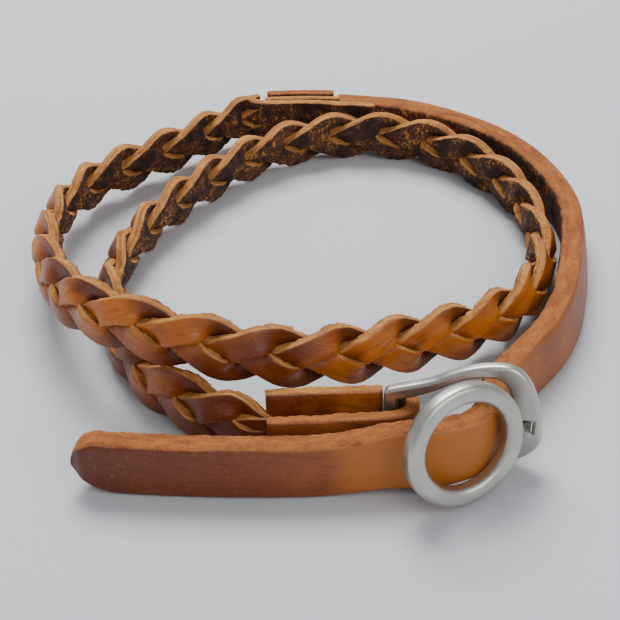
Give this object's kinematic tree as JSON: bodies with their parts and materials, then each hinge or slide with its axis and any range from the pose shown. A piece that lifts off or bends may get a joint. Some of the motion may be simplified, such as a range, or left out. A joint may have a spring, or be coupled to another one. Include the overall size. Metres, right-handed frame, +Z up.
{
  "type": "braided leather wrap bracelet",
  "caption": "Double-wrap leather bracelet: flat strap spliced to a flat braid, closed by threading the strap through a metal D frame and under a hinged ring.",
  "frame": {"origin": "middle of the underside of the whole box, on the surface that it stands on", "axes": "+Z up, +X along the flat tail towards the buckle, +Y from the buckle to the splice"},
  "size_m": [0.0694, 0.0808, 0.0142],
  "materials": {
    "strap_leather": "oiled tan leather with fine pores and burnished edges",
    "braid_leather": "glossy tan grain outside, dark fuzzy flesh side inside, light cut edges",
    "flesh_leather": "rough flesh side",
    "pewter": "tumbled, softly matte silver with rounded edges"
  },
  "bodies": {
    "band": {"flat_strap": "strap_leather", "braid_strand_1": "braid_leather", "braid_strand_2": "braid_leather", "braid_strand_3": "braid_leather", "splice_cover": "strap_leather", "splice_lining": "flesh_leather", "splice_tab": "flesh_leather", "fold_inner_layer": "braid_leather", "fold_loop": "strap_leather"},
    "frame": {"buckle_frame": "pewter", "hinge_pin": "pewter"},
    "ring": {"closing_ring": "pewter"}
  },
  "joints": [
    {"name": "frame_swing", "type": "hinge", "parent": "band", "child": "frame", "pos_m": [0.00786, -0.02912, 0.00423], "axis": [-0.0174, -0.1031, -0.9945], "range_deg": [0, 12]},
    {"name": "ring_swing", "type": "hinge", "parent": "frame", "child": "ring", "pos_m": [0.02173, -0.03136, 0.00522], "axis": [0.0174, 0.1031, 0.9945], "range_deg": [0, 55]}
  ]
}
